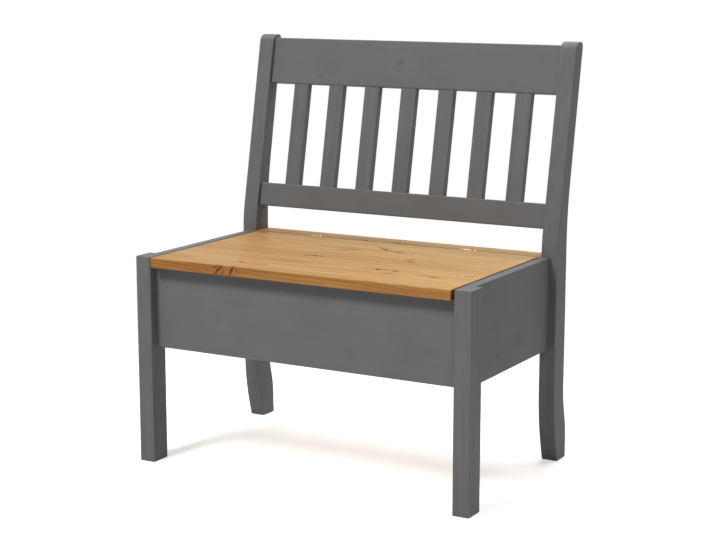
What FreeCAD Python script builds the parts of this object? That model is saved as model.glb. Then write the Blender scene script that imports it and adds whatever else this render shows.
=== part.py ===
import FreeCAD, Part
import math
import os
from collections import namedtuple

# A pine storage bench: a box seat on four legs, a lifting lid and a raked, slatted back.
# All sizes are in millimetres. X runs across the bench, to the right as seen from the front.
# Y runs from the front to the back and Z is up from the floor.
# The drawing below has its zero at the front face of the front legs, half way across.
# The finished pieces are moved so that the origin is under the middle of the whole bench.

V = FreeCAD.Vector
Screw = namedtuple("Screw", "head_radius shank_radius length")

# Overall sizes
overall_width = 800.0
overall_height = 909.0
seat_height = 456.0
seat_depth = 417.5

# Legs and rear posts
leg_width = 37.0
leg_depth = 50.0
post_depth = 52.5
leg_round = 2.0

# Bends of the rear posts, measured from the floor or up from the seat
rake_degrees = 11.3
front_bend_rise = 32.0
back_bend_rise = 89.0
front_bend_radius = 300.0
back_bend_radius = 700.0
post_top_depth = 36.0
nose_radius = 18.0
crown_radius = 10.0
foot_bend_height = 90.0
foot_kick = 25.0
foot_bend_radius = 480.0
heel_top_height = 134.0
heel_bottom_height = 71.0
heel_kick = 17.0
heel_curve_share = 0.48

# Panels of the box
box_height = 201.0
panel_thickness = 21.0
front_panel_recess = 23.0
back_panel_recess = 15.0
panel_round = 1.5

# Floor of the box and the battens under it
floor_thickness = 8.0
floor_gap = 1.0
batten_size = 20.0
batten_reveal = 5.0
batten_round = 1.0

# Lid and the fixed strip that carries its hinges
lid_thickness = 22.0
lid_overhang = 5.0
lid_side_gap = 4.0
lid_round = 3.0
seam_gap = 2.0
strip_lead = 2.0
cleat_width = 45.0
cleat_thickness = 18.0
cleat_length = 300.0
cleat_inset = 128.0
cleat_round = 3.0

# Back: two rails with slats tenoned between them
rail_thickness = 24.0
rail_recess = 10.0
rail_round = 3.0
crest_rail_height = 106.0
crest_drop = 7.0
lower_rail_height = 54.0
lower_rail_rise = 58.5
slat_count = 7
slat_width = 38.0
slat_thickness = 18.0
slat_round = 2.0
end_gap_extra = 6.0
tenon_length = 12.0
tenon_shoulder = 3.0
mortise_gap = 0.15
mortise_end_gap = 1.0

# Dowels
dowel_radius = 4.0
dowel_length = 40.0
dowel_end_gap = 1.0
dowel_round = 0.8
glue_gap = 0.1
panel_dowel_rows = 3
rail_dowel_rows = 2
strip_dowel_length = 30.0

# Butt hinges with five knuckles
hinge_inset = 167.0
hinge_length = 40.0
knuckle_count = 5
knuckle_radius = 2.4
knuckle_gap = 0.3
barrel_clearance = 0.4
pin_radius = 1.1
pin_clearance = 0.05
pin_end = 0.8
pin_round = 0.4
axis_rise = 0.4
leaf_height = 16.0
leaf_thickness = 1.2
leaf_gap = 0.6
leaf_corner = 2.0
leaf_pocket_gap = 0.2
leaf_screw_drop = 9.5
leaf_screw_spread = 13.0

# Countersunk screws
board_screw = Screw(head_radius=3.5, shank_radius=1.75, length=30.0)
floor_screw = Screw(head_radius=3.0, shank_radius=1.5, length=20.0)
hinge_screw = Screw(head_radius=2.7, shank_radius=1.4, length=16.0)
long_batten_screws = 4
side_batten_screws = 3
floor_long_screws = 3
floor_side_screws = 2
cleat_screws = 3
screw_rim = 0.3
screw_tip = 4.0
screw_clearance = 0.05
recess_width = 0.9
recess_depth = 1.2
recess_span = 1.2

# Places that follow from the sizes above
half_width = overall_width / 2
inner_x = half_width - leg_width
post_back = seat_depth + post_depth
box_bottom = seat_height - box_height
lid_bottom = seat_height - lid_thickness
front_panel_back = front_panel_recess + panel_thickness
back_panel_back = post_back - back_panel_recess
back_panel_front = back_panel_back - panel_thickness
strip_front = seat_depth - strip_lead
lid_rear = strip_front - seam_gap
lid_half = inner_x - lid_side_gap
batten_bottom = box_bottom + batten_reveal
batten_top = batten_bottom + batten_size
floor_top = batten_top + floor_thickness
axis_y = (lid_rear + strip_front) / 2
axis_z = seat_height + axis_rise
front_bend_z = seat_height + front_bend_rise
back_bend_z = seat_height + back_bend_rise
rake = math.radians(rake_degrees)
front_at_top = seat_depth + math.tan(rake) * (overall_height - front_bend_z)
across = V(1, 0, 0)
backward = V(0, 1, 0)
upward = V(0, 0, 1)


# Shared shapes

def runs_along(edge, letters):
    """True if a straight edge is parallel to one of the axes named by the letters."""
    direction = edge.tangentAt(edge.FirstParameter)
    parts = {"x": abs(direction.x), "y": abs(direction.y), "z": abs(direction.z)}
    return any(parts[letter] > 0.99 for letter in letters)


def board(x, y, z, radius, eased="xyz"):
    """A planed board between three pairs of limits, with the named edges eased."""
    solid = Part.makeBox(x[1] - x[0], y[1] - y[0], z[1] - z[0], V(x[0], y[0], z[0]))
    return solid.makeFillet(radius, [edge for edge in solid.Edges if runs_along(edge, eased)])


def spaced(low, high, count):
    """Places for a row of fixings: the middles of equal shares of a length."""
    share = (high - low) / count
    return [low + share * (index + 0.5) for index in range(count)]


def shared_out(low, high, count):
    """Places that part a length into equal shares, without its ends."""
    share = (high - low) / (count + 1)
    return [low + share * (index + 1) for index in range(count)]


def middle(low, high):
    return (low + high) / 2


def rounded_outline(corners):
    """A closed wire through (y, z, radius) corners, each turned by a tangent arc."""
    points = [V(0, y, z) for y, z, radius in corners]
    edges = []
    starts = []
    ends = []
    middles = []
    for index, (y, z, radius) in enumerate(corners):
        here = points[index]
        to_last = (points[index - 1] - here).normalize()
        to_next = (points[(index + 1) % len(points)] - here).normalize()
        half_turn = (math.pi - to_last.getAngle(to_next)) / 2
        reach = radius * math.tan(half_turn)
        inward = (to_last + to_next).normalize()
        starts.append(here + to_last * reach)
        ends.append(here + to_next * reach)
        middles.append(here + inward * (radius / math.cos(half_turn) - radius))
    for index, (y, z, radius) in enumerate(corners):
        if radius:
            arc = Part.Arc(starts[index], middles[index], ends[index])
            edges.append(arc.toShape())
        following = starts[(index + 1) % len(corners)]
        edges.append(Part.LineSegment(ends[index], following).toShape())
    return Part.Wire(edges)


def placed(shape, point, direction):
    """A copy of a shape drawn pointing down from zero, set at a point along a direction."""
    copy = shape.copy()
    copy.Placement = FreeCAD.Placement(point, FreeCAD.Rotation(V(0, 0, -1), direction))
    return copy


def turned(points):
    """A solid of revolution about Z from its (radius, height) outline."""
    corners = [V(radius, 0, height) for radius, height in points]
    face = Part.Face(Part.makePolygon(corners + corners[:1]))
    return face.revolve(V(0, 0, 0), upward, 360)


# The back stands on a frame that leans with the rear posts.
# Its zero is the front bend of the posts, its depth runs into the posts and its length up them.

def on_rake(shape):
    leaned = shape.copy()
    leaned.rotate(V(0, 0, 0), across, -rake_degrees)
    leaned.translate(V(0, seat_depth, front_bend_z))
    return leaned


def rake_point(x, depth, length):
    y = seat_depth + depth * math.cos(rake) + length * math.sin(rake)
    z = front_bend_z - depth * math.sin(rake) + length * math.cos(rake)
    return V(x, y, z)


def rake_length(z):
    """How far up the rake the front face of a rail reaches a height."""
    return (z - front_bend_z + rail_recess * math.sin(rake)) / math.cos(rake)


rail_depths = (rail_recess, rail_recess + rail_thickness)
rail_middle = middle(*rail_depths)
slat_depths = (rail_middle - slat_thickness / 2, rail_middle + slat_thickness / 2)
crest_top = rake_length(overall_height - crest_drop)
crest_lengths = (crest_top - crest_rail_height, crest_top)
lower_bottom = rake_length(seat_height + lower_rail_rise)
lower_lengths = (lower_bottom, lower_bottom + lower_rail_height)
slat_gap = (2 * inner_x - slat_count * slat_width - 2 * end_gap_extra) / (slat_count + 1)


# Dowels: each joint is a point on the meeting faces and the direction across them.

def end_joints(y, heights):
    return [(V(side * inner_x, y, z), across) for side in (-1, 1) for z in heights]


panel_rows = spaced(box_bottom, lid_bottom, panel_dowel_rows)
row_pitch = (lid_bottom - box_bottom) / panel_dowel_rows
side_rows = [z + row_pitch / 2 for z in panel_rows]
side_middle_x = inner_x + panel_thickness / 2
strip_middle_y = middle(strip_front, post_back)
back_panel_middle_y = middle(back_panel_front, back_panel_back)

front_joints = end_joints(middle(front_panel_recess, front_panel_back), panel_rows)
back_joints = end_joints(back_panel_middle_y, panel_rows)
side_joints = [
    (V(side * side_middle_x, y, z), backward)
    for side in (-1, 1) for y in (leg_depth, seat_depth) for z in side_rows
]
rail_joints = [
    (rake_point(side * inner_x, rail_middle, length), across)
    for side in (-1, 1)
    for lengths in (crest_lengths, lower_lengths)
    for length in spaced(*lengths, rail_dowel_rows)
]
strip_joints = end_joints(strip_middle_y, [middle(lid_bottom, seat_height)])
strip_post_joints = [
    (V(x, back_panel_middle_y, lid_bottom), upward)
    for x in spaced(-inner_x, inner_x, panel_dowel_rows)
]


def dowel(joint, length=dowel_length):
    point, direction = joint
    pin = Part.makeCylinder(dowel_radius, length, point - direction * (length / 2), direction)
    rims = [edge for edge in pin.Edges if edge.Curve.TypeId == "Part::GeomCircle"]
    return pin.makeFillet(dowel_round, rims)


def dowel_hole(joint, length=dowel_length):
    point, direction = joint
    depth = length / 2 + dowel_end_gap
    return Part.makeCylinder(dowel_radius + glue_gap, 2 * depth, point - direction * depth, direction)


# Screws: each is a point at the middle of its head and the direction that it is driven in.

def screw_outline(kind, gap=0.0):
    """The (radius, height) outline of a screw pointing down, or of its hole with a gap."""
    head = kind.head_radius + gap
    shank = kind.shank_radius + gap
    neck = screw_rim + kind.head_radius - kind.shank_radius
    return [
        (0, 0), (head, 0), (head, -screw_rim), (shank, -neck),
        (shank, screw_tip - kind.length), (0, -kind.length - gap),
    ]


def screw(kind, point, direction):
    """A countersunk screw with a cross recess in its head."""
    body = turned(screw_outline(kind))
    span = kind.head_radius * recess_span
    for length, width in ((span, recess_width), (recess_width, span)):
        slot = Part.makeBox(length, width, recess_depth, V(-length / 2, -width / 2, -recess_depth))
        body = body.cut(slot)
    return placed(body, point, direction)


def screw_hole(kind, point, direction):
    return placed(turned(screw_outline(kind, screw_clearance)), point, direction)


batten_middle_z = middle(batten_bottom, batten_top)
front_batten_y = (front_panel_back, front_panel_back + batten_size)
back_batten_y = (back_panel_front - batten_size, back_panel_front)
side_batten_y = (front_batten_y[1], back_batten_y[0])
side_batten_inner = inner_x - batten_size

batten_fixings = [
    (V(x, front_batten_y[1], batten_middle_z), -backward)
    for x in spaced(-inner_x, inner_x, long_batten_screws)
] + [
    (V(x, back_batten_y[0], batten_middle_z), backward)
    for x in spaced(-inner_x, inner_x, long_batten_screws)
] + [
    (V(side * side_batten_inner, y, batten_middle_z), across * side)
    for side in (-1, 1) for y in spaced(*side_batten_y, side_batten_screws)
]
floor_fixings = [
    (V(x, middle(*limits), floor_top), -upward)
    for limits in (front_batten_y, back_batten_y)
    for x in shared_out(-inner_x, inner_x, floor_long_screws)
] + [
    (V(side * (inner_x - batten_size / 2), y, floor_top), -upward)
    for side in (-1, 1) for y in shared_out(*side_batten_y, floor_side_screws)
]
cleat_x = lid_half - cleat_inset
cleat_middle_y = middle(front_panel_back, back_panel_front)
cleat_y = (cleat_middle_y - cleat_length / 2, cleat_middle_y + cleat_length / 2)
cleat_fixings = [
    (V(side * cleat_x, y, lid_bottom - cleat_thickness), upward)
    for side in (-1, 1) for y in spaced(*cleat_y, cleat_screws)
]
hinge_x = lid_half - hinge_inset


def leaf_fixings(side, toward):
    """The screws of one leaf; toward is 1 for the strip's leaf and -1 for the lid's leaf."""
    y = axis_y + toward * leaf_gap / 2
    z = axis_z - leaf_screw_drop
    offsets = (-leaf_screw_spread, 0, leaf_screw_spread)
    return [(V(side * hinge_x + offset, y, z), backward * toward) for offset in offsets]


strip_fixings = leaf_fixings(-1, 1) + leaf_fixings(1, 1)
lid_fixings = leaf_fixings(-1, -1) + leaf_fixings(1, -1)


# Every hole is cut in every board that it enters.

frame_holes = [
    dowel_hole(joint)
    for joint in front_joints + back_joints + side_joints + rail_joints + strip_joints
]
frame_holes += [dowel_hole(joint, strip_dowel_length) for joint in strip_post_joints]
frame_holes += [screw_hole(board_screw, *fixing) for fixing in batten_fixings]
frame_holes += [screw_hole(floor_screw, *fixing) for fixing in floor_fixings]
frame_holes += [screw_hole(hinge_screw, *fixing) for fixing in strip_fixings]
lid_holes = [screw_hole(board_screw, *fixing) for fixing in cleat_fixings]
lid_holes += [screw_hole(hinge_screw, *fixing) for fixing in lid_fixings]


def drilled(shape, holes):
    entered = [hole for hole in holes if hole.BoundBox.intersect(shape.BoundBox)]
    return shape.cut(entered) if entered else shape


# Frame pieces

def front_leg(side):
    x = sorted((side * inner_x, side * half_width))
    return board(x, (0, leg_depth), (0, seat_height), leg_round)


def rear_post(side):
    """One shaped board: upright beside the box, raked above it and kicked back at the foot."""
    heel_run = math.hypot(heel_kick, heel_top_height - heel_bottom_height)
    heel_turn = math.atan2(heel_kick, heel_top_height - heel_bottom_height)
    heel_radius = heel_curve_share * heel_run / math.tan(heel_turn / 2)
    outline = rounded_outline([
        (seat_depth + foot_kick, 0, 0),
        (seat_depth, foot_bend_height, foot_bend_radius),
        (seat_depth, front_bend_z, front_bend_radius),
        (front_at_top, overall_height, nose_radius),
        (front_at_top + post_top_depth, overall_height, crown_radius),
        (post_back, back_bend_z, back_bend_radius),
        (post_back, heel_top_height, heel_radius),
        (post_back + heel_kick, heel_bottom_height, heel_radius),
        (post_back + heel_kick, 0, 0),
    ])
    solid = Part.Face(outline).extrude(V(leg_width, 0, 0))
    sole = [edge for edge in solid.Edges if runs_along(edge, "x") and edge.BoundBox.ZMax < leg_round]
    rims = [edge for edge in solid.Edges if edge.BoundBox.XLength < leg_round]
    eased = solid.makeFillet(leg_round, rims + sole)
    eased.translate(V(min(side * inner_x, side * half_width), 0, 0))
    return eased


def front_panel():
    y = (front_panel_recess, front_panel_back)
    return board((-inner_x, inner_x), y, (box_bottom, lid_bottom), panel_round, "x")


def back_panel():
    y = (back_panel_front, back_panel_back)
    return board((-inner_x, inner_x), y, (box_bottom, lid_bottom), panel_round, "x")


def side_panel(side):
    x = sorted((side * inner_x, side * (inner_x + panel_thickness)))
    return board(x, (leg_depth, seat_depth), (box_bottom, seat_height), panel_round, "y")


def box_floor():
    x = inner_x - floor_gap
    y = (front_panel_back + floor_gap, back_panel_front - floor_gap)
    return Part.makeBox(2 * x, y[1] - y[0], floor_thickness, V(-x, y[0], batten_top))


def long_batten(y):
    return board((-inner_x, inner_x), y, (batten_bottom, batten_top), batten_round, "x")


def side_batten(side):
    x = sorted((side * side_batten_inner, side * inner_x))
    return board(x, side_batten_y, (batten_bottom, batten_top), batten_round, "y")


# Back pieces

def slat_centre(index):
    return (index - (slat_count - 1) / 2) * (slat_width + slat_gap)


def tenon(index, lengths, gap=0.0):
    """The stub at one end of a slat, or its mortise with a gap."""
    width = slat_width - 2 * tenon_shoulder + 2 * gap
    depth = slat_thickness - 2 * tenon_shoulder + 2 * gap
    corner = V(slat_centre(index) - width / 2, rail_middle - depth / 2, lengths[0])
    return Part.makeBox(width, depth, lengths[1] - lengths[0], corner)


def slat(index):
    x = (slat_centre(index) - slat_width / 2, slat_centre(index) + slat_width / 2)
    body = board(x, slat_depths, (lower_lengths[1], crest_lengths[0]), slat_round, "z")
    foot = tenon(index, (lower_lengths[1] - tenon_length, lower_lengths[1]))
    head = tenon(index, (crest_lengths[0], crest_lengths[0] + tenon_length))
    return on_rake(body.fuse([foot, head]).removeSplitter())


def rail(lengths, mortise_lengths):
    """A rail between the posts, with a mortise for each slat."""
    body = board((-inner_x, inner_x), rail_depths, lengths, rail_round, "x")
    mortises = [tenon(index, mortise_lengths, mortise_gap) for index in range(slat_count)]
    return on_rake(body.cut(mortises))


def crest_rail():
    return rail(crest_lengths, (crest_lengths[0], crest_lengths[0] + tenon_length + mortise_end_gap))


def lower_rail():
    return rail(lower_lengths, (lower_lengths[1] - tenon_length - mortise_end_gap, lower_lengths[1]))


# Lid, strip and hinges

def hinge_room(side, toward):
    """The pocket for one leaf and the groove for the barrel, cut from the board behind the leaf."""
    length = hinge_length + 2 * leaf_pocket_gap
    depth = leaf_gap / 2 + leaf_thickness
    height = leaf_height + leaf_pocket_gap
    y = min(axis_y, axis_y + toward * depth)
    pocket = Part.makeBox(length, depth, 2 * height, V(side * hinge_x - length / 2, y, axis_z - height))
    groove_length = hinge_length + 2 * (pin_end + barrel_clearance)
    start = V(side * hinge_x - groove_length / 2, axis_y, axis_z)
    groove = Part.makeCylinder(knuckle_radius + barrel_clearance, groove_length, start, across)
    return [pocket, groove]


def lid():
    body = board((-lid_half, lid_half), (-lid_overhang, lid_rear), (lid_bottom, seat_height), lid_round)
    return body.cut(hinge_room(-1, -1) + hinge_room(1, -1))


def hinge_strip():
    body = board((-inner_x, inner_x), (strip_front, post_back), (lid_bottom, seat_height), lid_round, "x")
    return body.cut(hinge_room(-1, 1) + hinge_room(1, 1))


def lid_cleat(side):
    x = (side * cleat_x - cleat_width / 2, side * cleat_x + cleat_width / 2)
    z = (lid_bottom - cleat_thickness, lid_bottom)
    solid = Part.makeBox(cleat_width, cleat_length, cleat_thickness, V(x[0], cleat_y[0], z[0]))
    lower = [edge for edge in solid.Edges if edge.BoundBox.ZMin < lid_bottom - cleat_round]
    return solid.makeFillet(cleat_round, lower)


def hinge_leaf(side, toward, knuckles, fixings):
    """One leaf: a plate beside the seam, with its own share of the knuckles rolled at the top."""
    left = side * hinge_x - hinge_length / 2
    y = sorted((axis_y + toward * leaf_gap / 2, axis_y + toward * (leaf_gap / 2 + leaf_thickness)))
    plate = Part.makeBox(hinge_length, leaf_thickness, leaf_height, V(left, y[0], axis_z - leaf_height))
    corners = [
        edge for edge in plate.Edges
        if runs_along(edge, "y") and edge.BoundBox.ZMax < axis_z - leaf_height / 2
    ]
    plate = plate.makeFillet(leaf_corner, corners)
    room = knuckle_radius + knuckle_gap
    plate = plate.cut(Part.makeCylinder(room, hinge_length, V(left, axis_y, axis_z), across))
    step = hinge_length / knuckle_count
    rolls = []
    for number in knuckles:
        start = left + number * step + knuckle_gap / 2
        length = step - knuckle_gap
        rolls.append(Part.makeCylinder(knuckle_radius, length, V(start, axis_y, axis_z), across))
        rolls.append(Part.makeBox(length, leaf_thickness, 2 * room, V(start, y[0], axis_z - 2 * room)))
    bore = Part.makeCylinder(pin_radius + pin_clearance, hinge_length, V(left, axis_y, axis_z), across)
    leaf = plate.fuse(rolls).removeSplitter().cut(bore)
    return drilled(leaf, [screw_hole(hinge_screw, *fixing) for fixing in fixings])


def hinge_pin(side):
    length = hinge_length + 2 * pin_end
    pin = Part.makeCylinder(pin_radius, length, V(side * hinge_x - length / 2, axis_y, axis_z), across)
    rims = [edge for edge in pin.Edges if edge.Curve.TypeId == "Part::GeomCircle"]
    return pin.makeFillet(pin_round, rims)


# All the pieces by name

def screws(kind, fixings):
    return Part.makeCompound([screw(kind, *fixing) for fixing in fixings])


def dowels(joints, length=dowel_length):
    return Part.makeCompound([dowel(joint, length) for joint in joints])


strip_knuckles = range(0, knuckle_count, 2)
lid_knuckles = range(1, knuckle_count, 2)
boards = {
    "front_panel": front_panel(),
    "back_panel": back_panel(),
    "box_floor": box_floor(),
    "floor_batten_front": long_batten(front_batten_y),
    "floor_batten_back": long_batten(back_batten_y),
    "crest_rail": crest_rail(),
    "lower_rail": lower_rail(),
    "hinge_strip": hinge_strip(),
}
lid_boards = {"lid": lid()}
pieces = {
    "front_panel_dowels": dowels(front_joints),
    "back_panel_dowels": dowels(back_joints),
    "side_panel_dowels": dowels(side_joints),
    "back_rail_dowels": dowels(rail_joints),
    "hinge_strip_dowels": Part.makeCompound(
        [dowel(joint) for joint in strip_joints]
        + [dowel(joint, strip_dowel_length) for joint in strip_post_joints]),
    "floor_batten_screws": screws(board_screw, batten_fixings),
    "box_floor_screws": screws(floor_screw, floor_fixings),
    "lid_cleat_screws": screws(board_screw, cleat_fixings),
    "hinge_strip_screws": screws(hinge_screw, strip_fixings),
    "hinge_lid_screws": screws(hinge_screw, lid_fixings),
}
for name, side in (("left", -1), ("right", 1)):
    boards["front_leg_" + name] = front_leg(side)
    boards["rear_post_" + name] = rear_post(side)
    boards["side_panel_" + name] = side_panel(side)
    boards["floor_batten_" + name] = side_batten(side)
    lid_boards["lid_cleat_" + name] = lid_cleat(side)
    pieces["hinge_" + name + "_strip_leaf"] = hinge_leaf(side, 1, strip_knuckles, leaf_fixings(side, 1))
    pieces["hinge_" + name + "_lid_leaf"] = hinge_leaf(side, -1, lid_knuckles, leaf_fixings(side, -1))
    pieces["hinge_" + name + "_pin"] = hinge_pin(side)
for index in range(slat_count):
    pieces["back_slat_" + str(index + 1)] = slat(index)
for name, shape in boards.items():
    pieces[name] = drilled(shape, frame_holes)
for name, shape in lid_boards.items():
    pieces[name] = drilled(shape, lid_holes)

# The origin goes under the middle of the bench, between the lid's front and the posts' tops.
back_limit = boards["rear_post_left"].optimalBoundingBox(False).YMax
to_origin = V(0, -middle(-lid_overhang, back_limit), 0)
os.makedirs("parts", exist_ok=True)
for name, shape in pieces.items():
    shape.translate(to_origin)
    shape.exportStep("parts/" + name + ".step")

print("pieces", len(pieces))
print("solids", sum(len(shape.Solids) for shape in pieces.values()))
print("overall depth", round(back_limit + lid_overhang, 3))
print("origin behind the front legs' face", round(-to_origin.y, 3))
print("hinge axis y, z", round(axis_y + to_origin.y, 3), round(axis_z, 3))
print("slat gap", round(slat_gap, 3))
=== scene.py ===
# %% [markdown]
# A storage bench for two: painted pine legs, box and slatted back, and a plain wooden lid
# that lifts on two hinges. Every board already exists as a measured solid, so this lesson
# is about finishes, light and the camera. Loading comes first, because each later step asks
# the loaded bench where its boards are.

# %% Load the bench
import math
from collections import namedtuple

import bmesh
import bpy
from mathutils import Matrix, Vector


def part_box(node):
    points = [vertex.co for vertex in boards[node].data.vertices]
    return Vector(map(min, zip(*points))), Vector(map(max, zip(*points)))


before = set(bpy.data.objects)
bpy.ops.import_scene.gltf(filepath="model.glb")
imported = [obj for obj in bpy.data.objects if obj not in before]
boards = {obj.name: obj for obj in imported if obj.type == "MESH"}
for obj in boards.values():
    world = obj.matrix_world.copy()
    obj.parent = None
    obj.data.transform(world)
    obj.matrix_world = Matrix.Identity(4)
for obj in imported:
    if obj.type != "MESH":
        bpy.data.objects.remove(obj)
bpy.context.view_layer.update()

# %% [markdown]
# Finishes are built from shader nodes, and a wooden finish takes dozens of them. One small
# function adds a node, sets its options and either sets or links its inputs, so that each
# line below reads as one step of the recipe. Inputs go by name where the name is clear, and
# by number where several share a name. The numbers that are hard to remember get names here.

# %% Adding a shader node
BLEND, UNDER, OVER = 0, 6, 7  # a colour mix: the share of the upper colour, then both colours
# A range reads a value between a start and an end, and gives a low and a high number there.
VALUE, START, END, LOW, HIGH = range(5)


def add(tree, kind, inputs=None, **options):
    """Add one shader node, set its options, and set or link its inputs."""
    node = tree.nodes.new("ShaderNode" + kind)
    for option, value in options.items():
        setattr(node, option, value)
    for key, value in (inputs or {}).items():
        if isinstance(value, bpy.types.Node):
            value = next(socket for socket in value.outputs if socket.enabled)
        if isinstance(value, bpy.types.NodeSocket):
            tree.links.new(value, node.inputs[key])
        else:
            node.inputs[key].default_value = value
    return node


print("inputs of a colour mix", BLEND, UNDER, OVER, "and of a range", VALUE, START, END, LOW, HIGH)

# %% [markdown]
# Colours are written as they look on a screen. The shader works in linear light, in which a
# middle grey is only about a fifth of white, so one function turns the written colour into
# that. Another starts an empty material, because a new one brings nodes of its own.

# %% Colours and empty finishes
def linear(colour):
    """Turn an sRGB hex colour into linear red, green, blue and a full alpha."""
    steps = [int(colour[i:i + 2], 16) / 255 for i in (1, 3, 5)]
    return [s / 12.92 if s <= 0.04045 else ((s + 0.055) / 1.055) ** 2.4 for s in steps] + [1.0]


def new_finish(name):
    """Start an empty material and return it with its node tree."""
    finish = bpy.data.materials.new(name)
    finish.use_nodes = True
    finish.node_tree.nodes.clear()
    return finish, finish.node_tree


print("middle grey in linear light", round(linear("#808080")[0], 3))

# %% [markdown]
# Wood has a direction. A board's pattern runs along its length, so every wooden finish first
# turns the bench's coordinates into the board's own: along the grain, across the width and
# through the thickness, in millimetres. The raked back is turned upright first. The same is
# done for the way the surface faces, which later tells flat faces from edges and end grain.

# %% Coordinates along, across and through a board
MM = 0.001  # in metres
RAKE = math.radians(11.3)  # how far the back leans


def board_axes(tree, order, rake=0.0):
    """Return the point in millimetres and the facing, each along, across and through."""
    seen = add(tree, "TexCoord")
    point = add(tree, "Mapping", {"Vector": seen.outputs["Object"], "Rotation": (rake, 0, 0),
                                  "Scale": (1 / MM, 1 / MM, 1 / MM)})
    facing = add(tree, "Mapping", {"Vector": seen.outputs["Normal"], "Rotation": (rake, 0, 0)},
                 vector_type="VECTOR")
    turned = []
    for vector in (point, facing):
        parts = add(tree, "SeparateXYZ", {0: vector})
        inputs = {i: parts.outputs["XYZ".index(letter)] for i, letter in enumerate(order)}
        turned.append(add(tree, "CombineXYZ", inputs))
    return turned


print("the back leans", round(math.degrees(RAKE), 1), "degrees")

# %% [markdown]
# Streaks, fibres and rolling lines are all long one way and narrow the other two. Noise is
# the same in every direction, so it is drawn out: its unit gets the streak's real lengths
# along, across and through. Such noise keeps near its middle, so a pattern that needs its
# whole range takes it between two limits.

# %% Streaks
DETAIL = 3.0  # finer layers in most of the noise
NOISE_LOW, NOISE_HIGH = 0.3, 0.7  # nearly all of the noise lies between these


def streaks(tree, place, lengths_mm, detail=DETAIL, roughness=0.5):
    """Return noise whose unit has these lengths along, across and through, in millimetres."""
    scales = [1 / length for length in lengths_mm]
    drawn_out = add(tree, "Mapping", {"Vector": place, "Scale": scales})
    return add(tree, "TexNoise", {"Vector": drawn_out, "Scale": 1.0, "Detail": detail,
                                  "Roughness": roughness})


print("noise is read between", NOISE_LOW, "and", NOISE_HIGH)

# %% [markdown]
# Pine shows its years: pale spring wood darkens into a thin brown line, then starts again.
# A photograph of wood could be laid on the board, but it would not fit the ends and edges.
# Here the years are rings round a pith that runs beside the board, wandering a little, so a
# face cuts them into flames, an edge into lines and an end into arcs, as a saw does.

# %% Growth rings
DRIFT_MM = (600, 90, 90)  # how long one wander of the years is along, across and through
DRIFT_DETAIL = 1.0
SECTION = (0, 1, 1)  # rings are round across and through the board, and the same all along it
SUMMER_FROM, SUMMER_FULL = 0.3, 0.96  # the parts of a year when the wood darkens and is darkest


def growth_rings(tree, place, pith, year_mm, wander_mm, pushed_mm=0.0):
    """Return 0 in spring wood rising to 1 in summer wood, once a year."""
    drift = streaks(tree, place, DRIFT_MM, DRIFT_DETAIL)
    offset = add(tree, "VectorMath", {0: place, 1: pith}, operation="SUBTRACT")
    level = add(tree, "VectorMath", {0: offset, 1: SECTION}, operation="MULTIPLY")
    radius = add(tree, "VectorMath", {0: level}, operation="LENGTH")
    wandered = add(tree, "Math", {0: drift, 1: wander_mm, 2: radius}, operation="MULTIPLY_ADD")
    pushed = add(tree, "Math", {0: wandered, 1: pushed_mm}, operation="ADD")
    years = add(tree, "Math", {0: pushed, 1: year_mm}, operation="DIVIDE")
    season = add(tree, "Math", {0: years}, operation="FRACT")
    return add(tree, "MapRange", {VALUE: season, START: SUMMER_FROM, END: SUMMER_FULL},
               interpolation_type="SMOOTHSTEP")


print("summer wood starts after", SUMMER_FROM, "of a year")

# %% [markdown]
# A knot is a branch that the trunk grew round. On the lid the knots are short brown strokes,
# because the saw cut along the branch, and under the paint they are faint dark patches. A
# cell texture would scatter them anywhere, so each is given one by one: a stretched, turned
# ellipse with a ragged rim, carried a given depth into the board. The function also returns
# how near the nearest knot is, counted in half sizes of that knot.

# %% Knots
Knot = namedtuple("Knot", "along across length width turn shade")
RAGGED_UNIT_MM = 11  # from one tooth of the rim to the next
NOISE_MEAN = (0.5, 0.5, 0.5)
RIM, CORE = 1.1, 0.42  # where a knot's shade starts and where it is full, in its half sizes
FAR_OFF = 9.0  # what counts as near no knot at all, in half sizes
RIGHT_THROUGH_MM = 1e6  # deeper than any board


def knots_in(tree, place, knots, ragged_mm=3.0, heart_mm=0.0, depth_mm=RIGHT_THROUGH_MM):
    """Return the darkest knot's shade at a point, and how near the nearest knot is."""
    rough = add(tree, "TexNoise", {"Vector": place, "Scale": 1 / RAGGED_UNIT_MM, "Detail": DETAIL})
    shift = add(tree, "VectorMath", {0: rough.outputs["Color"], 1: NOISE_MEAN},
                operation="SUBTRACT")
    ragged = add(tree, "VectorMath", {0: shift, 1: (ragged_mm * 2, ragged_mm, 0), 2: place},
                 operation="MULTIPLY_ADD")
    shade, nearest = 0.0, FAR_OFF
    for knot in knots:
        local = add(tree, "Mapping", {
            "Vector": ragged, "Location": (knot.along, knot.across, heart_mm),
            "Rotation": (0, 0, math.radians(knot.turn)),
            "Scale": (knot.length / 2, knot.width / 2, depth_mm)}, vector_type="TEXTURE")
        reach = add(tree, "VectorMath", {0: local}, operation="LENGTH")
        mark = add(tree, "MapRange", {VALUE: reach, START: RIM, END: CORE, HIGH: knot.shade},
                   interpolation_type="SMOOTHSTEP")
        shade = add(tree, "Math", {0: shade, 1: mark}, operation="MAXIMUM")
        nearest = add(tree, "Math", {0: nearest, 1: reach}, operation="MINIMUM")
    return shade, nearest


print("a knot is given by its", ", ".join(Knot._fields))

# %% [markdown]
# The years swerve round a knot, because the tree had to grow round the branch. Near a knot
# they are pushed aside by a few millimetres, most of all at its flank. Bending the coordinates
# would bend the knots as well, so only the rings are pushed.

# %% Years that swerve
FLANK = 0.6  # where the push is full, in half sizes of the knot


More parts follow.
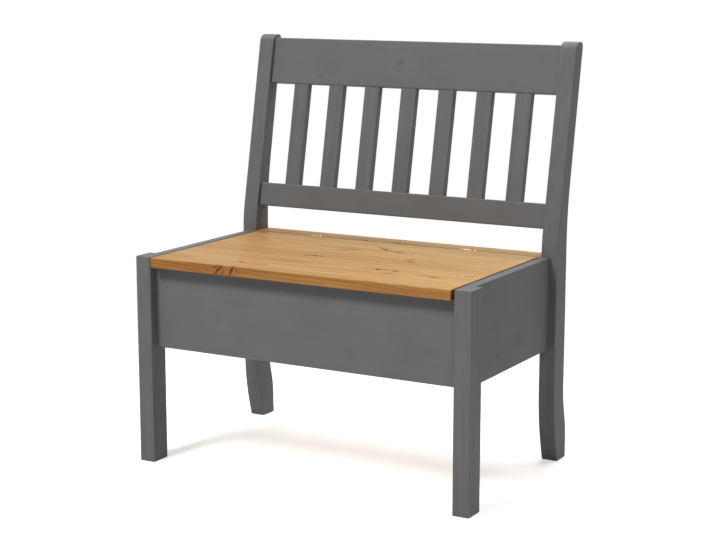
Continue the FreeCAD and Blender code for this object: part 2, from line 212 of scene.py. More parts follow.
def swerve_round(tree, nearest, reach, push_mm):
    """Return how far the years are pushed aside, from nothing at the given reach."""
    return add(tree, "MapRange", {VALUE: nearest, START: reach, END: FLANK, HIGH: push_mm},
               interpolation_type="SMOOTHSTEP")


print("years are pushed most at", FLANK, "of a knot's half size")

# %% [markdown]
# Sanded edges look different from the faces between them: paint pulls thin there and hands
# rub it paler, and a rounded edge catches the light. The paint's edges are made paler for
# both, so they are partly wear and partly a painted highlight. A flat face points along one
# axis of its board, and a rounded edge points between two, so the second largest part of the
# facing finds the edges exactly.

# %% Edges
EDGE_FROM, EDGE_FULL = 0.3, 0.65  # the second largest part of the facing, from face to edge


def arris(tree, facing):
    """Return 1 along rounded edges and 0 on flat faces."""
    sizes = add(tree, "VectorMath", {0: facing}, operation="ABSOLUTE")
    along, across, through = add(tree, "SeparateXYZ", {0: sizes}).outputs
    low = add(tree, "Math", {0: along, 1: across}, operation="MINIMUM")
    high = add(tree, "Math", {0: along, 1: across}, operation="MAXIMUM")
    inner = add(tree, "Math", {0: high, 1: through}, operation="MINIMUM")
    second = add(tree, "Math", {0: low, 1: inner}, operation="MAXIMUM")
    return add(tree, "MapRange", {VALUE: second, START: EDGE_FROM, END: EDGE_FULL},
               interpolation_type="SMOOTHSTEP")


print("an edge starts", round(math.degrees(math.asin(EDGE_FROM))), "degrees off a face")

# %% [markdown]
# The frame is pine under sprayed satin paint, a neutral grey. The film is thin, so the years
# still show as faint streaks, most of all on the narrow legs and slats, and large soft clouds
# show where the film is thicker. One flat grey would look moulded. Clouds, streaks and years
# are added up instead and move the grey by a few steps, which makes it read as paint.

# %% Paint film
CLOUD_MM = 90  # across one soft cloud
PAINT_STREAK_MM = (260, 9, 9)  # along, across and through
CLOUD_SHARE = 0.6
PAINT_YEAR_SHARE = -0.1
TONE_REACH = 0.4  # how far the sum goes from its middle to either grey
FILM_DARK, FILM_PALE = "#5f5f60", "#6e6e6f"


def paint_film(tree, place, years, grain):
    """Return the film's grey: soft clouds, streaks along the grain and faint years."""
    cloud = add(tree, "TexNoise", {"Vector": place, "Scale": 1 / CLOUD_MM, "Detail": DETAIL})
    streak = streaks(tree, place, PAINT_STREAK_MM)
    mottle = add(tree, "Math", {0: cloud, 1: CLOUD_SHARE}, operation="MULTIPLY")
    mottle = add(tree, "Math", {0: streak, 1: grain, 2: mottle}, operation="MULTIPLY_ADD")
    mottle = add(tree, "Math", {0: years, 1: PAINT_YEAR_SHARE * grain, 2: mottle},
                 operation="MULTIPLY_ADD")
    middle = (CLOUD_SHARE + grain) / 2
    tone = add(tree, "MapRange", {VALUE: mottle, START: middle - TONE_REACH,
                                  END: middle + TONE_REACH})
    return add(tree, "Mix", {BLEND: tone, UNDER: linear(FILM_DARK), OVER: linear(FILM_PALE)},
               data_type="RGBA")


print("paint from", FILM_DARK, "to", FILM_PALE)

# %% [markdown]
# Over the film come the marks: darker patches where a knot shows through, and paler edges,
# partly where the paint is thin and partly a painted highlight where a rounded edge catches
# the light. A spray leaves a fine nap, which breaks up the sheen, and the years stand up under
# the film by a few hundredths of a millimetre. Knots sink in a little. The relief is far too
# small to model, so it is a bump.

# %% Satin paint on pine
PAINTED_PITH = (0, 15, -65)  # millimetres along, across and through
PAINTED_YEAR_MM = 4.5
PINE_WANDER_MM = 40.0
PAINTED_SWERVE_REACH, PAINTED_SWERVE_MM = 2.2, 7.0
# the edge grey is partly worn paint and partly a painted highlight on rounded edges
KNOT_GREY, EDGE_WEAR_AND_HIGHLIGHT_GREY = "#4a4a4a", "#858585"
EDGE_WEAR_AND_HIGHLIGHT_SHARE = 0.35
NAP_MM = 1.6  # the real nap is a few tenths wide, too fine to show, so it is drawn coarser
NAP_DETAIL = 2.0
SATIN_SMOOTH, SATIN_ROUGH = 0.48, 0.6
YEARS_UNDER_PAINT, KNOTS_UNDER_PAINT = 0.5, -0.8  # their heights, as parts of the nap's
WOOD_BUMP = 0.5
PAINT_RELIEF_MM = 0.06
PAINT_IOR, PAINT_SPECULAR = 1.48, 0.15


def painted_pine(name, order, rake=0.0, grain=1.0, knots=()):
    """Neutral grey satin paint: even, soft sheen, grain only just telling through."""
    finish, tree = new_finish(name)
    place, facing = board_axes(tree, order, rake)
    shade, nearest = knots_in(tree, place, knots)
    swerve = swerve_round(tree, nearest, PAINTED_SWERVE_REACH, PAINTED_SWERVE_MM)
    years = growth_rings(tree, place, PAINTED_PITH, PAINTED_YEAR_MM, PINE_WANDER_MM, swerve)
    film = paint_film(tree, place, years, grain)
    patch = add(tree, "Mix", {BLEND: shade, UNDER: film, OVER: linear(KNOT_GREY)},
                data_type="RGBA")
    # paler edges: partly thin paint, partly a painted highlight
    worn_and_highlit_edge = add(tree, "Math", {0: arris(tree, facing), 1: EDGE_WEAR_AND_HIGHLIGHT_SHARE}, operation="MULTIPLY")
    colour = add(tree, "Mix", {BLEND: worn_and_highlit_edge, UNDER: patch, OVER: linear(EDGE_WEAR_AND_HIGHLIGHT_GREY)},
                 data_type="RGBA")
    nap = add(tree, "TexNoise", {"Vector": place, "Scale": 1 / NAP_MM, "Detail": NAP_DETAIL})
    sheen = add(tree, "MapRange", {VALUE: nap, START: NOISE_LOW, END: NOISE_HIGH,
                                   LOW: SATIN_SMOOTH, HIGH: SATIN_ROUGH})
    ridge = add(tree, "Math", {0: years, 1: YEARS_UNDER_PAINT * grain, 2: nap},
                operation="MULTIPLY_ADD")
    relief = add(tree, "Math", {0: shade, 1: KNOTS_UNDER_PAINT, 2: ridge},
                 operation="MULTIPLY_ADD")
    bump = add(tree, "Bump", {"Strength": WOOD_BUMP, "Distance": PAINT_RELIEF_MM * MM,
                              "Height": relief})
    skin = add(tree, "BsdfPrincipled", {
        "Base Color": colour, "Roughness": sheen, "Normal": bump,
        "IOR": PAINT_IOR, "Specular IOR Level": PAINT_SPECULAR})
    add(tree, "OutputMaterial", {"Surface": skin})
    return finish


print("years under the paint are", PAINTED_YEAR_MM, "mm wide")

# %% [markdown]
# Now the frame is painted. The grain of each board runs along its length: upright in legs,
# posts and slats, crossways in rails and panels, front to back in the sides. One finish for
# all would put the grain across half of them, so each direction has its own. The grain is
# fainter on rails, panels and sides, and only these have knots.

# %% Painting the frame
SIDES = ("left", "right")
SLATS = ["back_slat_%d" % n for n in range(1, 8)]
FAINT_GRAIN = 0.3
CREST_KNOTS = (Knot(-24, 883, 27, 21, 20, 0.35), Knot(-232, 846, 22, 15, 0, 0.2),
               Knot(252, 842, 26, 15, 0, 0.2), Knot(-155, 894, 18, 13, 0, 0.15))
SIDE_KNOTS = (Knot(-7, 311, 60, 34, -12, 0.35), Knot(-105, 294, 36, 22, -10, 0.28))
PANEL_KNOTS = (Knot(-205, 331, 30, 18, 8, 0.18), Knot(118, 300, 34, 20, -6, 0.18))


def wear(finish, *names):
    """Give a finish to the named boards and say so."""
    for name in names:
        for slot in boards[name].material_slots:
            slot.material = finish
    print(finish.name, "on", len(names), "pieces")


wear(painted_pine("satin_paint_legs", "ZXY"), *["front_leg_" + s for s in SIDES])
wear(painted_pine("satin_paint_posts", "ZYX"), *["rear_post_" + s for s in SIDES])
wear(painted_pine("satin_paint_slats", "ZXY", RAKE), *SLATS)
wear(painted_pine("satin_paint_rails", "XZY", RAKE, FAINT_GRAIN, CREST_KNOTS),
     "crest_rail", "lower_rail")
wear(painted_pine("satin_paint_panels", "XZY", 0.0, FAINT_GRAIN, PANEL_KNOTS),
     "front_panel", "back_panel")
wear(painted_pine("satin_paint_sides", "YZX", 0.0, FAINT_GRAIN, SIDE_KNOTS),
     *["side_panel_" + s for s in SIDES])

# %% [markdown]
# The lid is glued up from pine staves. They were planed as one board, so no groove shows
# between them, and cutting them apart would add seams that are not there. What tells them
# apart is the wood: each stave was another part of a tree, with its own pith, its own lean
# and its own warmth. Random numbers drawn from the stave's number give all three.

# %% Staves
PITH_LEAN = 0.05  # the most that a pith rises or falls, per millimetre of length
PITH_LOWEST_MM, PITH_HIGHEST_MM = 330.0, 425.0  # above the ground, in the middle of a stave


def stave_pith(tree, place, stave_mm, first_edge_mm):
    """Return the pith of the stave at a point, and that stave's own random number."""
    along, across, _ = add(tree, "SeparateXYZ", {0: place}).outputs
    staves = add(tree, "Math", {0: across, 1: first_edge_mm}, operation="SUBTRACT")
    staves = add(tree, "Math", {0: staves, 1: stave_mm}, operation="DIVIDE")
    number = add(tree, "Math", {0: staves}, operation="FLOOR")
    chance = add(tree, "TexWhiteNoise", {"W": number}, noise_dimensions="1D")
    first, second, third = add(tree, "SeparateColor", {0: chance.outputs["Color"]}).outputs
    edge = add(tree, "Math", {0: number, 1: stave_mm, 2: first_edge_mm}, operation="MULTIPLY_ADD")
    pith_across = add(tree, "Math", {0: first, 1: stave_mm, 2: edge}, operation="MULTIPLY_ADD")
    lean = add(tree, "MapRange", {VALUE: second, LOW: -PITH_LEAN, HIGH: PITH_LEAN})
    height = add(tree, "MapRange", {VALUE: third, LOW: PITH_LOWEST_MM, HIGH: PITH_HIGHEST_MM})
    pith_through = add(tree, "Math", {0: along, 1: lean, 2: height}, operation="MULTIPLY_ADD")
    return add(tree, "CombineXYZ", {1: pith_across, 2: pith_through}), first


print("piths lie", PITH_LOWEST_MM, "to", PITH_HIGHEST_MM, "mm above the ground")

# %% [markdown]
# Oiled pine is honey coloured. Its warmth is added up from what the wood shows: the years,
# the fibres, the stave and broad bands along the grain. Light is also painted in: the whole
# board is made a little paler towards the right and the back. The sum then picks a colour
# between a pale and a dark honey, so every pattern stays within those two.

# %% Honey colour
BAND_MM = (320, 15, 15)  # along, across and through
BAND_ROUGHNESS = 0.6
YEAR_SHARE, FIBRE_SHARE, STAVE_SHARE, BAND_SHARE = 0.3, 0.4, 0.14, 1.3
# painted light: the board is made paler by this much towards the right and the back
PAINTED_LIGHT_SLOPE = (0.00045, 0.00045, 0.0)  # per millimetre to the right, to the back and up
PALE_AT, DARK_AT = 0.65, 1.45  # the sums that give the pale and the dark honey


def honey(tree, place, years, fibre, chance, pale, dark):
    """Return the colour of the oiled wood with its painted light, before knots and edges."""
    band = streaks(tree, place, BAND_MM, roughness=BAND_ROUGHNESS)
    warmth = add(tree, "Math", {0: years, 1: YEAR_SHARE}, operation="MULTIPLY")
    for part, share in ((fibre, FIBRE_SHARE), (chance, STAVE_SHARE), (band, BAND_SHARE)):
        warmth = add(tree, "Math", {0: part, 1: share, 2: warmth}, operation="MULTIPLY_ADD")
    # painted light: paler towards the right and the back
    painted_light_slope = add(tree, "VectorMath", {0: place, 1: PAINTED_LIGHT_SLOPE}, operation="DOT_PRODUCT")
    warmth = add(tree, "Math", {0: warmth, 1: painted_light_slope}, operation="SUBTRACT")
    tone = add(tree, "MapRange", {VALUE: warmth, START: PALE_AT, END: DARK_AT})
    return add(tree, "Mix", {BLEND: tone, UNDER: linear(pale), OVER: linear(dark)},
               data_type="RGBA")


print("broad bands are", BAND_MM[0], "mm long and", BAND_MM[1], "mm wide")

# %% [markdown]
# Oil soaks deeper into the edges of a board, which turn more orange, and deepest into the
# sawn ends, which go brown. Both could be separate materials on separate faces, but the
# rounded edges blend one into the other, so the facing decides how much of each there is.

# %% Oil in edges and ends
FACE_ENDS, EDGE_BEGINS = 0.9, 0.3  # the upward part of the facing, from face to edge
EDGE_SOAK = 0.75
END_FROM, END_FULL = 0.2, 0.6  # the lengthwise part of the facing, from side to end
EDGE_OIL, END_OIL = "#dfc49e", "#ab8c68"


def soak(tree, facing, figure):
    """Return the figured wood, darker where oil soaks into edges and ends."""
    sizes = add(tree, "VectorMath", {0: facing}, operation="ABSOLUTE")
    endways, _, flat = add(tree, "SeparateXYZ", {0: sizes}).outputs
    soaked = add(tree, "MapRange", {VALUE: flat, START: FACE_ENDS, END: EDGE_BEGINS,
                                    HIGH: EDGE_SOAK})
    edge = add(tree, "Mix", {BLEND: soaked, UNDER: figure, OVER: linear(EDGE_OIL)},
               data_type="RGBA", blend_type="MULTIPLY")
    end_grain = add(tree, "MapRange", {VALUE: endways, START: END_FROM, END: END_FULL})
    return add(tree, "Mix", {BLEND: end_grain, UNDER: edge, OVER: linear(END_OIL)},
               data_type="RGBA", blend_type="MULTIPLY")


print("oil tints edges", EDGE_OIL, "and ends", END_OIL)

# %% [markdown]
# A branch may also come out at the front edge of the lid, where the saw met it. Those knots
# are given along and up the edge, and reach only a short way into the board, while a knot
# on the face goes right through. One recipe makes both, with the coordinates swapped. Then
# they are joined: the darker shade wins, and so does the nearer knot.

# %% Knots on the face and on the edge
EDGE_KNOT_DEPTH_MM = 14.0
EDGE_RAGGED_MM = 1.5  # how far the rim of such a knot strays


def face_and_edge_knots(tree, place, knots, edge_knots, edge_mm):
    """Return shade and nearness for knots on the face and on the front edge together."""
    shade, nearest = knots_in(tree, place, knots)
    along, across, through = add(tree, "SeparateXYZ", {0: place}).outputs
    edgeways = add(tree, "CombineXYZ", {0: along, 1: through, 2: across})
    cut, beside = knots_in(tree, edgeways, edge_knots, EDGE_RAGGED_MM, edge_mm, EDGE_KNOT_DEPTH_MM)
    shade = add(tree, "Math", {0: shade, 1: cut}, operation="MAXIMUM")
    nearest = add(tree, "Math", {0: nearest, 1: beside}, operation="MINIMUM")
    return shade, nearest


print("knots of the front edge go", EDGE_KNOT_DEPTH_MM, "mm deep")

# %% [markdown]
# The finish puts these together: staves, years, knots and honey, then the oil. The fibres
# run through the knots as well and vary their shade. Oil leaves a satin skin with a soft
# sheen, which the fibres vary too, and the years can still be felt as a faint relief. A
# coat of varnish would need a clear layer on top, but oil goes into the wood, so there is none.

# %% Oiled pine
FIBRE_MM = (90, 1.8, 1.8)  # single fibres are too fine to show, so bundles of them are drawn
OILED_YEAR_MM = 4.2
OILED_SWERVE_REACH, OILED_SWERVE_MM = 2.6, 6.0
KNOT_BROWN = "#63330f"
HEART_VARIES, HEART_LEAST = 0.6, 0.65
OIL_SMOOTH, OIL_ROUGH = 0.44, 0.58
YEARS_UNDER_OIL = 0.6
OIL_RELIEF_MM = 0.06
OIL_IOR, OIL_SPECULAR = 1.5, 0.2


def oiled_pine(name, stave_mm, first_edge_mm, knots, edge_knots, pale, dark):
    """Honey pine under clear oil: warm flames along the grain and a soft satin sheen."""
    finish, tree = new_finish(name)
    place, facing = board_axes(tree, "XYZ")
    shade, nearest = face_and_edge_knots(tree, place, knots, edge_knots, first_edge_mm)
    swerve = swerve_round(tree, nearest, OILED_SWERVE_REACH, OILED_SWERVE_MM)
    pith, chance = stave_pith(tree, place, stave_mm, first_edge_mm)
    years = growth_rings(tree, place, pith, OILED_YEAR_MM, PINE_WANDER_MM, swerve)
    fibre = streaks(tree, place, FIBRE_MM)
    wood = honey(tree, place, years, fibre, chance, pale, dark)
    heart = add(tree, "Math", {0: fibre, 1: HEART_VARIES, 2: HEART_LEAST},
                operation="MULTIPLY_ADD")
    knotted = add(tree, "Math", {0: shade, 1: heart}, operation="MULTIPLY")
    figure = add(tree, "Mix", {BLEND: knotted, UNDER: wood, OVER: linear(KNOT_BROWN)},
                 data_type="RGBA")
    sheen = add(tree, "MapRange", {VALUE: fibre, START: NOISE_LOW, END: NOISE_HIGH,
                                   LOW: OIL_SMOOTH, HIGH: OIL_ROUGH})
    ridge = add(tree, "Math", {0: years, 1: YEARS_UNDER_OIL, 2: fibre}, operation="MULTIPLY_ADD")
    bump = add(tree, "Bump", {"Strength": WOOD_BUMP, "Distance": OIL_RELIEF_MM * MM,
                              "Height": ridge})
    skin = add(tree, "BsdfPrincipled", {
        "Base Color": soak(tree, facing, figure), "Roughness": sheen, "Normal": bump,
        "IOR": OIL_IOR, "Specular IOR Level": OIL_SPECULAR})
    add(tree, "OutputMaterial", {"Surface": skin})
    return finish


print("fibres are drawn", FIBRE_MM[1], "mm wide")

# %% [markdown]
# The lid has five staves and some twenty knots, most of them in small groups where several
# branches left the trunk together. The hinge strip behind it is one narrow board of darker
# wood. Its stave is made wider than the strip, so that no joint falls inside it.

# %% Oiling the lid and the hinge strip
LID_KNOTS = (
    Knot(-48, 18, 40, 13, 50, 0.8), Knot(-31, 36, 38, 13, 34, 0.9),
    Knot(-82, -78, 30, 13, 50, 0.75), Knot(-64, -74, 28, 17, -16, 1.0),
    Knot(-48, -72, 26, 12, 40, 0.7), Knot(32, 66, 40, 14, -38, 1.0),
    Knot(69, 50, 56, 15, -12, 0.65), Knot(7, 86, 44, 13, -35, 0.5),
    Knot(131, -148, 21, 20, 20, 1.0), Knot(148, -144, 26, 12, 4, 0.85),
    Knot(170, -148, 21, 15, -13, 1.0), Knot(171, -177, 36, 12, 10, 0.55),
    Knot(108, -155, 46, 13, 20, 0.4), Knot(140, -21, 34, 12, 76, 0.7),
    Knot(153, -44, 24, 13, 11, 0.8), Knot(244, -166, 32, 12, 8, 0.6),
    Knot(270, -171, 34, 14, -21, 0.9), Knot(331, -128, 34, 12, 25, 0.55),
    Knot(-160, -216, 44, 13, -35, 0.7), Knot(-336, 136, 50, 15, -10, 0.6))
EDGE_KNOTS = (Knot(-183, 446, 38, 7, 46, 1.0), Knot(-188, 453, 22, 5, 35, 0.7),
              Knot(-172, 441, 20, 5, 53, 0.7), Knot(-150, 447, 32, 8, 62, 1.0),
              Knot(-138, 448, 20, 5, -75, 0.5))
STRIP_KNOTS = (Knot(-74, 158, 38, 13, -27, 0.9), Knot(11, 157, 36, 13, -18, 0.8))
LID_PALE, LID_DARK = "#c29d65", "#9a6d38"
STRIP_PALE, STRIP_DARK = "#9d7946", "#7e562b"
LID_STAVES = 5
STRIP_STAVE_MM, STRIP_EDGE_MM = 200, 60

lid_front, lid_back = (corner[1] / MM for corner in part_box("lid"))
stave = (lid_back - lid_front) / LID_STAVES
wear(oiled_pine("oiled_pine_lid", stave, lid_front, LID_KNOTS, EDGE_KNOTS, LID_PALE, LID_DARK),
     "lid")
wear(oiled_pine("oiled_pine_strip", STRIP_STAVE_MM, STRIP_EDGE_MM, STRIP_KNOTS, (),
                STRIP_PALE, STRIP_DARK), "hinge_strip")
print("a stave of the lid is", round(stave, 1), "mm wide")

# %% [markdown]
# The box floor is birch plywood: thin peeled sheets, glued with the grain crossed, so every
# other sheet shows its darker end grain at the edge. The sheets could be modelled one by one,
# but glue makes them one board, so the layers are a pattern that appears on the edges only.

# %% Plywood layers
SHEET_PALE, SHEET_DARK = 0.4, 0.6  # where one sheet ends and the next is dark, in sheets
PLY_FACE, PLY_EDGE = 0.8, 0.4  # the upward part of the facing, from face to edge


def ply_layers(tree, place, facing, ply_mm):
    """Return 1 in the dark layers of a plywood edge and 0 elsewhere."""
    through = add(tree, "SeparateXYZ", {0: place}).outputs[2]
    layer = add(tree, "Math", {0: through, 1: ply_mm}, operation="PINGPONG")
    upright = add(tree, "SeparateXYZ", {0: facing}).outputs[2]
    flat = add(tree, "Math", {0: upright}, operation="ABSOLUTE")
    darker = add(tree, "MapRange", {VALUE: layer, START: SHEET_PALE * ply_mm,
                                    END: SHEET_DARK * ply_mm})
    edge = add(tree, "MapRange", {VALUE: flat, START: PLY_FACE, END: PLY_EDGE})
    return add(tree, "Math", {0: darker, 1: edge}, operation="MULTIPLY")


print("a sheet darkens from", SHEET_PALE, "to", SHEET_DARK, "of its thickness")

# %% [markdown]
# What the box hides is left bare. Battens and cleats are planed pine as it left the mill,
# pale and dull, the plywood floor has a faint wide figure, and the dowels are beech. All of
# them are dry wood with soft grain and no sheen, so one recipe serves, with other colours
# and other widths of a year.

# %% Bare wood
BARE_PITH = (0, 20, -40)  # millimetres along, across and through
BARE_WANDER_MM = 25.0
BARE_FIBRE_MM = (60, 1.5, 1.5)  # bundles again, because single fibres are too fine to show
BARE_YEAR_SHARE, BARE_FIBRE_SHARE, PLY_SHARE = 0.5, 0.6, 0.7
BARE_SMOOTH, BARE_ROUGH = 0.62, 0.8
BARE_RELIEF_MM = 0.05
BARE_IOR = 1.45


def bare_wood(name, order, pale, dark, year_mm, ply_mm=0.0):
    """Dry unfinished wood: pale, matt, with soft grain and no sheen."""
    finish, tree = new_finish(name)
    place, facing = board_axes(tree, order)
    years = growth_rings(tree, place, BARE_PITH, year_mm, BARE_WANDER_MM)
    fibre = streaks(tree, place, BARE_FIBRE_MM)
    tone = add(tree, "Math", {0: years, 1: BARE_YEAR_SHARE}, operation="MULTIPLY")
    tone = add(tree, "Math", {0: fibre, 1: BARE_FIBRE_SHARE, 2: tone}, operation="MULTIPLY_ADD")
    if ply_mm:
        layers = ply_layers(tree, place, facing, ply_mm)
        tone = add(tree, "Math", {0: layers, 1: PLY_SHARE, 2: tone}, operation="MULTIPLY_ADD")
    colour = add(tree, "Mix", {BLEND: tone, UNDER: linear(pale), OVER: linear(dark)},
                 data_type="RGBA")
    sheen = add(tree, "MapRange", {VALUE: fibre, START: NOISE_LOW, END: NOISE_HIGH,
                                   LOW: BARE_SMOOTH, HIGH: BARE_ROUGH})
    bump = add(tree, "Bump", {"Strength": WOOD_BUMP, "Distance": BARE_RELIEF_MM * MM,
                              "Height": fibre})
    skin = add(tree, "BsdfPrincipled", {"Base Color": colour, "Roughness": sheen, "Normal": bump,
                                        "IOR": BARE_IOR})
    add(tree, "OutputMaterial", {"Surface": skin})
    return finish


print("bare fibres are drawn", BARE_FIBRE_MM[1], "mm wide")

# %% [markdown]
# Each bare piece gets its own wood. The peeled face of birch plywood cuts the years almost
# flat, so they look very wide. Beech grows slowly and evenly, so its years are narrow.

# %% Bare wood in and under the box
PINE_BARE = ("#d8bb8c", "#bd9460", 3.6)  # pale, dark and the width of a year in millimetres
BIRCH_BARE = ("#dcc59c", "#c6a676", 14.0)
BEECH_BARE = ("#cfa878", "#b08457", 2.0)
PLY_MM = 1.3  # one sheet of the plywood
DOWELLED = ("front_panel", "back_panel", "side_panel", "back_rail", "hinge_strip")
wear(bare_wood("planed_pine_long", "XYZ", *PINE_BARE), "floor_batten_front", "floor_batten_back")
wear(bare_wood("planed_pine_cross", "YXZ", *PINE_BARE), *["floor_batten_" + s for s in SIDES],
     *["lid_cleat_" + s for s in SIDES])
wear(bare_wood("sanded_birch_plywood", "XYZ", *BIRCH_BARE, PLY_MM), "box_floor")
wear(bare_wood("beech_dowel", "XYZ", *BEECH_BARE), *[board + "_dowels" for board in DOWELLED])

# %% [markdown]
# The hinges are pressed steel with a thin brass plating, and the screws are zinc plated. Both
# are metal all through to the eye, so the colour sits in the reflection itself. What tells
# plating from solid metal is its unevenness: rolling lines, cloudy gloss and dull tarnish.

# %% Plated steel
TARNISH_MM = 5  # across one tarnished spot
TARNISH_FROM, TARNISH_FULL = 0.42, 0.62
ROLLED_MM = (12, 0.4, 0.4)  # the real lines are too fine to show, so they are drawn coarser
ROLLED_DETAIL = 2.0
GLOSS_SPREAD = 0.07
PLATING_BUMP = 0.3
PLATING_RELIEF_MM = 0.02


def plated_steel(name, pale, dark, roughness):
    """Thin bright plating: coloured reflections, cloudy gloss, fine rolling lines."""
    finish, tree = new_finish(name)
    place, _ = board_axes(tree, "XYZ")
    cloud = add(tree, "TexNoise", {"Vector": place, "Scale": 1 / TARNISH_MM, "Detail": DETAIL})
    tarnish = add(tree, "MapRange", {VALUE: cloud, START: TARNISH_FROM, END: TARNISH_FULL})
    rolled = streaks(tree, place, ROLLED_MM, ROLLED_DETAIL)
    colour = add(tree, "Mix", {BLEND: tarnish, UNDER: linear(pale), OVER: linear(dark)},
                 data_type="RGBA")
    gloss = add(tree, "MapRange", {VALUE: rolled, START: NOISE_LOW, END: NOISE_HIGH,
                                   LOW: roughness - GLOSS_SPREAD, HIGH: roughness + GLOSS_SPREAD})
    bump = add(tree, "Bump", {"Strength": PLATING_BUMP, "Distance": PLATING_RELIEF_MM * MM,
                              "Height": rolled})
    skin = add(tree, "BsdfPrincipled", {"Base Color": colour, "Roughness": gloss, "Normal": bump,
                                        "Metallic": 1.0})
    add(tree, "OutputMaterial", {"Surface": skin})
    return finish


print("tarnished spots are about", TARNISH_MM, "mm wide")

# %% [markdown]
# Hinges get the brass and screws get the zinc. The brass has lost its polish, so it is the
# rougher of the two and its tarnish is much darker than its bright parts. Zinc stays cool
# and even. Each could be one plain metal, but then the small knuckles would look like plastic.

# %% Plating hinges and screws
BRASS = ("#cdb087", "#746043", 0.44)  # bright, tarnished and the roughness
ZINC = ("#c8ccd0", "#a9aeb4", 0.34)
SCREWED = ("floor_batten", "box_floor", "lid_cleat", "hinge_strip", "hinge_lid")
HINGE_PARTS = ["hinge_%s_%s" % (s, p) for s in SIDES for p in ("strip_leaf", "lid_leaf", "pin")]
wear(plated_steel("brass_plating", *BRASS), *HINGE_PARTS)
wear(plated_steel("zinc_plating", *ZINC), *[piece + "_screws" for piece in SCREWED])

# %% [markdown]
# Bench and floor are seen against white, but a white world would also light the bench from
# all sides and flatten it. So floor and world ask what kind of ray has met them. The world is
# white and the floor is brighter only where the camera looks, straight or in a reflection.

# %% White only where it is seen
def white_seen(tree):
    """Return 1 where the camera looks, straight or by way of metal or glass, else 0."""
    path = add(tree, "LightPath")
    mirrored = add(tree, "Math", {0: path.outputs["Is Glossy Ray"],
                                  1: path.outputs["Is Transmission Ray"]}, operation="MAXIMUM")
    return add(tree, "Math", {0: path.outputs["Is Camera Ray"], 1: mirrored}, operation="MAXIMUM")


WHITE = "#ffffff"
print("white in linear light", linear(WHITE)[0])

# %% [markdown]
# The bench stands on pale studio paper, which throws light back up at the feet. A huge sheet
# would show a horizon, so the paper fades into the white surroundings where the camera
# looks. There it also glows a little, so that the shadow on it stays faint.

# %% Studio paper
FADE_FROM, FADE_TO = 0.5, 1.6  # metres from the middle
FLOOR_LIFT = 0.5
PAPER = "#f0f0f0"


def studio_paper():
    """Pale matt studio paper that fades out before its edge."""
    finish, tree = new_finish("studio_paper")
    seen = white_seen(tree)
    paper = add(tree, "BsdfDiffuse", {"Color": linear(PAPER)})
    lift = add(tree, "Math", {0: seen, 1: FLOOR_LIFT}, operation="MULTIPLY")
    glow = add(tree, "Emission", {"Strength": lift})
    bright = add(tree, "AddShader", {0: paper, 1: glow})
    spot = add(tree, "TexCoord").outputs["Object"]
    distance = add(tree, "VectorMath", {0: spot}, operation="LENGTH")
    far = add(tree, "MapRange", {VALUE: distance, START: FADE_FROM, END: FADE_TO},
              interpolation_type="SMOOTHSTEP")
    fade = add(tree, "Math", {0: far, 1: seen}, operation="MULTIPLY")
    clear = add(tree, "BsdfTransparent")
    faded = add(tree, "MixShader", {0: fade, 1: bright, 2: clear})
    add(tree, "OutputMaterial", {"Surface": faded})
    return finish


print("the paper fades out between", FADE_FROM, "and", FADE_TO, "m")

# %% [markdown]
# The floor itself is a disc rather than a square, because a disc is the same from every
# side. It starts as a circle with a filled middle and lies level with the soles of the legs.
# It is no part of the bench.

# %% Floor
FLOOR_RADIUS = 4.0  # in metres
FLOOR_SEGMENTS = 96

shape = bmesh.new()
bmesh.ops.create_circle(shape, cap_ends=True, segments=FLOOR_SEGMENTS, radius=FLOOR_RADIUS)
mesh = bpy.data.meshes.new("studio_floor")
shape.to_mesh(mesh)
shape.free()
mesh.materials.append(studio_paper())
floor = bpy.data.objects.new("studio_floor", mesh)
bpy.context.scene.collection.objects.link(floor)
print("floor radius", FLOOR_RADIUS)

# %% [markdown]
# Product light is soft and plain. The key lamp hangs high in front, to the left, so fronts
# are lit and right sides fall into shade. A large panel overhead and behind makes the tops
# brightest, a weak fill at the right opens the shadows, and two weaker lamps keep the back
# and the left side from going dark. Small lamps would throw hard shadows, so all five are
# broad square panels.

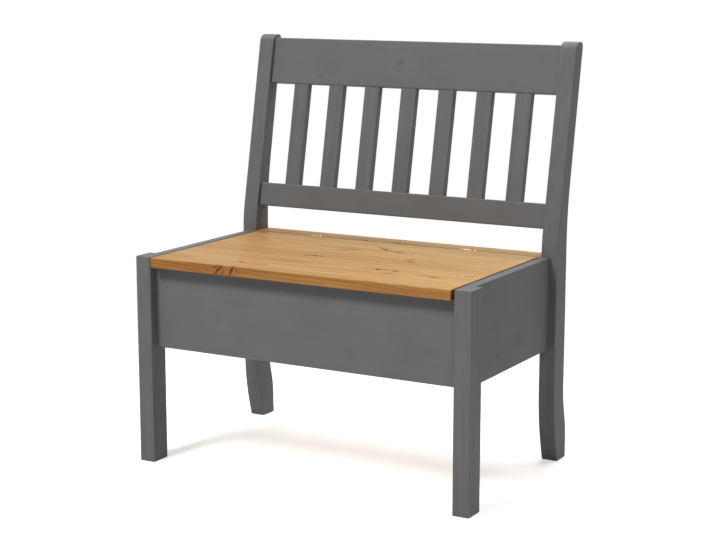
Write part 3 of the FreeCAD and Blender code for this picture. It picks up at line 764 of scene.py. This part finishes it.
# %% Lamps
AIM = (0.0, 0.0, 0.42)
Lamp = namedtuple("Lamp", "name place size power")
LAMPS = (Lamp("key", (-0.90, -3.35, 4.00), 1.2, 189.0),
         Lamp("fill", (1.50, -2.30, 2.20), 1.4, 13.0),
         Lamp("overhead", (0.40, 1.30, 2.90), 2.2, 82.0),
         Lamp("rear", (0.20, 3.20, 1.00), 1.2, 8.0),
         Lamp("side", (-2.60, 0.10, 1.00), 1.2, 7.0))

for lamp in LAMPS:
    light = bpy.data.lights.new(lamp.name, "AREA")
    light.shape = "SQUARE"
    light.size = lamp.size
    light.energy = lamp.power
    holder = bpy.data.objects.new(lamp.name, light)
    holder.location = lamp.place
    aim = Vector(AIM) - Vector(lamp.place)
    holder.rotation_euler = aim.to_track_quat("-Z", "Y").to_euler()
    bpy.context.scene.collection.objects.link(holder)

print("lamps", [lamp.name for lamp in LAMPS])

# %% [markdown]
# The surroundings are white where they are seen and black to everything else, so that they
# add no light that would flatten the boards. The picture keeps the plain Standard view, in
# which a colour comes out about as it is written.

# %% Surroundings
AMBIENT = 0.0

world = bpy.data.worlds.new("studio")
world.use_nodes = True
sky = world.node_tree
sky.nodes.clear()
strength = add(sky, "MapRange", {VALUE: white_seen(sky), LOW: AMBIENT, HIGH: 1.0})
backdrop = add(sky, "Background", {"Color": linear(WHITE), "Strength": strength})
add(sky, "OutputWorld", {"Surface": backdrop})
bpy.context.scene.world = world
bpy.context.scene.view_settings.view_transform = "Standard"
print("light from the surroundings", AMBIENT)

# %% [markdown]
# The camera stands to the right of the bench, about as high as an elbow and some three and
# a half metres away, and looks slightly down with a short telephoto lens. Its place was worked
# out from the bench's own straight edges, so boards fall where they should in the picture.

# %% Camera
LENS_MM = 84.0
SENSOR_MM = 36.0
CAMERA_PLACE = (1.76384, -3.10272, 1.07943)
TURN, TILT = math.radians(29.636), math.radians(10.489)

view = bpy.data.cameras.new("camera")
view.lens = LENS_MM
view.sensor_fit = "HORIZONTAL"
view.sensor_width = SENSOR_MM
camera = bpy.data.objects.new("camera", view)
camera.location = CAMERA_PLACE
camera.rotation_euler = (math.pi / 2 - TILT, 0.0, TURN)
bpy.context.scene.collection.objects.link(camera)
bpy.context.scene.camera = camera
print("camera", CAMERA_PLACE, "lens", LENS_MM)
